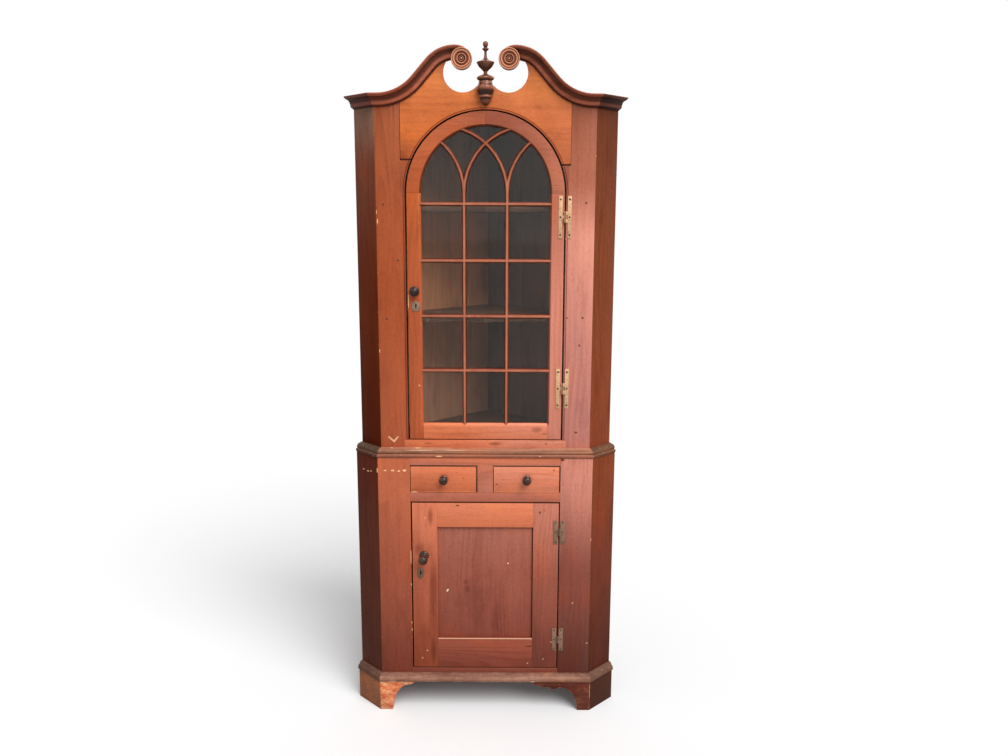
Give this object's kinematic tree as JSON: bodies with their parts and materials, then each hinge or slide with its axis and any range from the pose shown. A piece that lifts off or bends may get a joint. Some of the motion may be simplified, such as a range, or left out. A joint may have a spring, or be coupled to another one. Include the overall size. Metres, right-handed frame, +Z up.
{
  "type": "corner cupboard",
  "caption": "Two-case corner cupboard with canted sides: arched glazed door under a swan-neck pediment, drawers and a panelled door below, bracket feet.",
  "frame": {"origin": "middle of the bounding box, on the floor under the cupboard", "axes": "+Z up, -Y out of the front towards the room, +X to the right of someone who faces the doors; the back corner of the room is on +Y"},
  "size_m": [0.9056, 0.5788, 2.2139],
  "materials": {
    "upper_case_pine": "old oil finish, worn",
    "orange_pine": "old oil finish, worn",
    "lower_case_pine": "old red oil finish, worn",
    "dark_moulding": "dark stain",
    "worn_moulding": "rubbed bare",
    "bare_board": "unfinished",
    "dark_turning": "dark stain, satin",
    "old_brass": "dull, spotted",
    "old_iron": "brown rust",
    "old_glass": "slightly wavy"
  },
  "bodies": {
    "case": {"lower_left_stile": "lower_case_pine", "lower_right_stile": "lower_case_pine", "lower_left_return": "lower_case_pine", "lower_right_return": "lower_case_pine", "lower_left_back": "bare_board", "lower_right_back": "bare_board", "lower_floor": "lower_case_pine", "drawer_shelf": "lower_case_pine", "drawer_frame": "lower_case_pine", "base_moulding": "worn_moulding", "left_bracket_foot": "lower_case_pine", "right_bracket_foot": "lower_case_pine", "waist_board": "worn_moulding", "waist_moulding": "worn_moulding", "upper_left_stile": "upper_case_pine", "upper_right_stile": "upper_case_pine", "upper_left_return": "upper_case_pine", "upper_right_return": "upper_case_pine", "upper_left_back": "bare_board", "upper_right_back": "bare_board", "upper_bottom_rail": "orange_pine", "upper_floor": "bare_board", "upper_top": "bare_board", "upper_shelf_low": "bare_board", "upper_shelf_high": "bare_board", "tympanum": "orange_pine", "left_cornice": "dark_moulding", "right_cornice": "dark_moulding", "left_rosette": "orange_pine", "right_rosette": "orange_pine", "finial": "dark_turning", "upper_hinge_low_case_leaf": "old_brass", "upper_hinge_high_case_leaf": "old_brass", "lower_hinge_low_case_leaf": "old_iron", "lower_hinge_high_case_leaf": "old_iron"},
    "upper_door": {"upper_door_left_stile": "orange_pine", "upper_door_right_stile": "orange_pine", "upper_door_arch": "orange_pine", "upper_door_bottom_rail": "orange_pine", "glazing_bars": "orange_pine", "upper_door_glass": "old_glass", "upper_door_knob": "dark_turning", "upper_door_key_plate": "old_brass", "upper_hinge_low_door_leaf": "old_brass", "upper_hinge_high_door_leaf": "old_brass"},
    "lower_door": {"lower_door_left_stile": "lower_case_pine", "lower_door_right_stile": "lower_case_pine", "lower_door_top_rail": "lower_case_pine", "lower_door_bottom_rail": "lower_case_pine", "lower_door_panel": "lower_case_pine", "lower_door_knob": "dark_turning", "lower_door_key_plate": "old_brass", "lower_hinge_low_door_leaf": "old_iron", "lower_hinge_high_door_leaf": "old_iron"},
    "left_drawer": {"left_drawer_front": "lower_case_pine", "left_drawer_box": "bare_board", "left_drawer_knob": "dark_turning"},
    "right_drawer": {"right_drawer_front": "lower_case_pine", "right_drawer_box": "bare_board", "right_drawer_knob": "dark_turning"}
  },
  "joints": [
    {"name": "upper_door_hinge", "type": "hinge", "parent": "case", "child": "upper_door", "pos_m": [0.2521, -0.2121, 1.41], "axis": [0, 0, 1], "range_deg": [0, 135]},
    {"name": "lower_door_hinge", "type": "hinge", "parent": "case", "child": "lower_door", "pos_m": [0.2481, -0.2376, 0.45], "axis": [0, 0, 1], "range_deg": [0, 135]},
    {"name": "left_drawer_slide", "type": "slide", "parent": "case", "child": "left_drawer", "axis": [0, -1, 0], "range_m": [0, 0.15]},
    {"name": "right_drawer_slide", "type": "slide", "parent": "case", "child": "right_drawer", "axis": [0, -1, 0], "range_m": [0, 0.15]}
  ]
}
